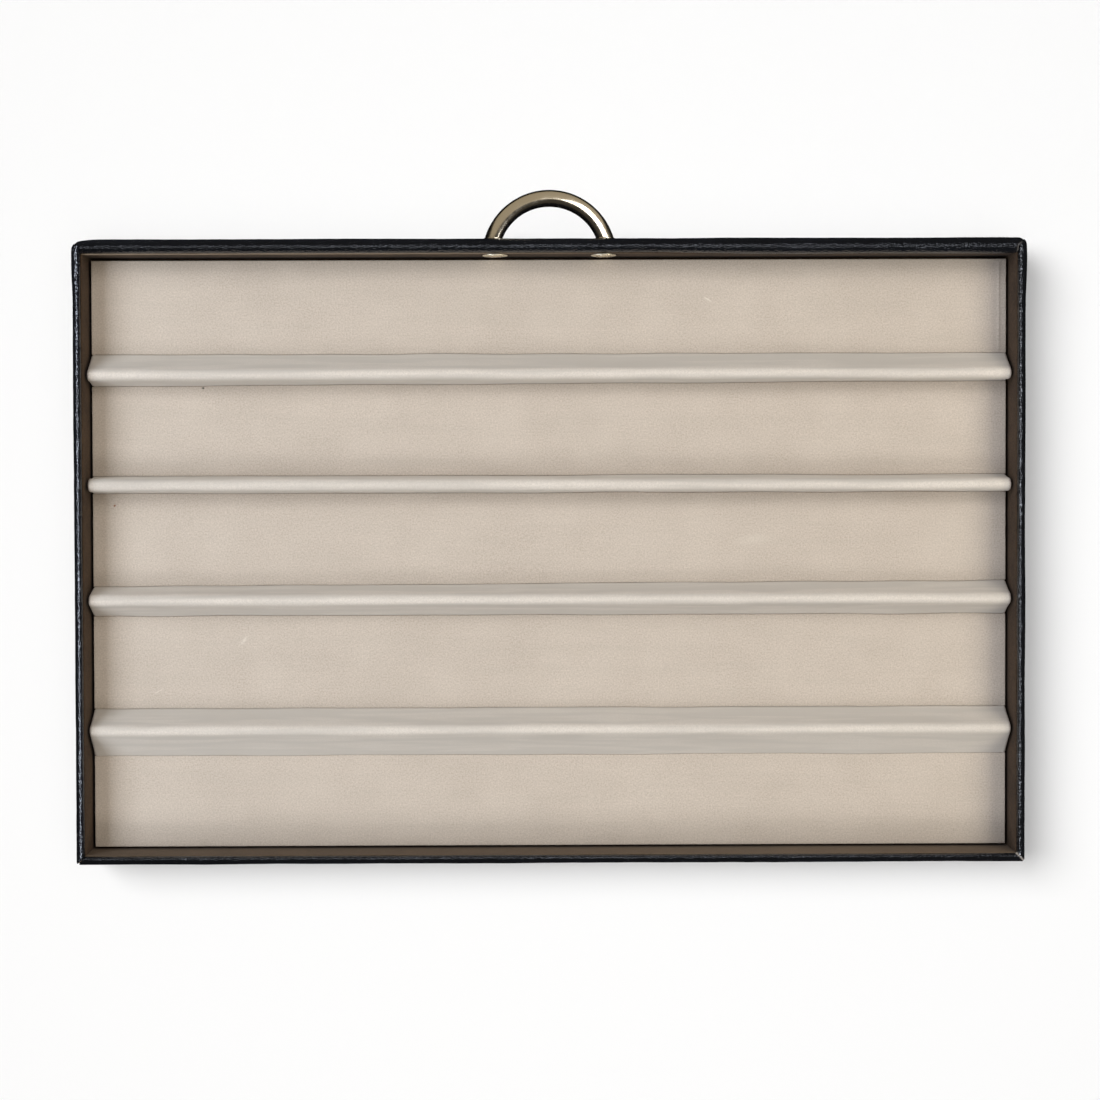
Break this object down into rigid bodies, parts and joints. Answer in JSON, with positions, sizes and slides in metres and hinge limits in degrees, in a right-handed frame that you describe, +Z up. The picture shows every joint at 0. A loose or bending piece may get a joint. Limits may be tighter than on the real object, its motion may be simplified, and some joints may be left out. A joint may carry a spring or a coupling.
{
  "type": "necklace display tray",
  "caption": "Shallow leather-bound tray for necklaces, with a lift-out suede insert of flat panels parted by padded ridges, and a half-ring metal pull on the rear wall.",
  "frame": {"origin": "centre of the tray's underside", "axes": "+X along the tray to the right with the pull away from the viewer, +Y to the wall with the pull, +Z up out of the tray"},
  "size_m": [0.45, 0.3197, 0.026],
  "materials": {
    "black_leather": "black leather with a fine grain, a little sheen",
    "taupe_lining": "dark taupe suede cloth",
    "beige_suede": "light beige-grey faux suede with a short nap",
    "fibre_board": "bare brown fibre board, hidden",
    "grey_card": "bare grey card, hidden",
    "white_foam": "thin white padding, hidden",
    "pale_wood": "bare pale wood, hidden",
    "black_base_cloth": "black felt on the underside",
    "polished_nickel": "polished nickel with a warm tint"
  },
  "bodies": {
    "tray": {"base_board": "fibre_board", "base_cover": "black_base_cloth", "floor_lining": "taupe_lining", "front_leather": "black_leather", "front_lining": "taupe_lining", "front_wall_board": "fibre_board", "left_leather": "black_leather", "left_lining": "taupe_lining", "left_wall_board": "fibre_board", "pull_bow": "polished_nickel", "pull_collars": "polished_nickel", "pull_screws": "polished_nickel", "pull_washers": "polished_nickel", "rear_leather": "black_leather", "rear_lining": "taupe_lining", "rear_wall_board": "fibre_board", "right_leather": "black_leather", "right_lining": "taupe_lining", "right_wall_board": "fibre_board"},
    "insert": {"insert_board": "fibre_board", "panel_1_card": "grey_card", "panel_1_foam": "white_foam", "panel_1_suede": "beige_suede", "panel_2_card": "grey_card", "panel_2_foam": "white_foam", "panel_2_suede": "beige_suede", "panel_3_card": "grey_card", "panel_3_foam": "white_foam", "panel_3_suede": "beige_suede", "panel_4_card": "grey_card", "panel_4_foam": "white_foam", "panel_4_suede": "beige_suede", "panel_5_card": "grey_card", "panel_5_foam": "white_foam", "panel_5_suede": "beige_suede", "ridge_1_batten": "pale_wood", "ridge_1_suede": "beige_suede", "ridge_2_batten": "pale_wood", "ridge_2_suede": "beige_suede", "ridge_3_batten": "pale_wood", "ridge_3_suede": "beige_suede", "ridge_4_batten": "pale_wood", "ridge_4_suede": "beige_suede"}
  },
  "joints": [
    {"name": "insert_lift", "type": "slide", "parent": "tray", "child": "insert", "axis": [0, 0, 1], "range_m": [0, 0.025]}
  ]
}
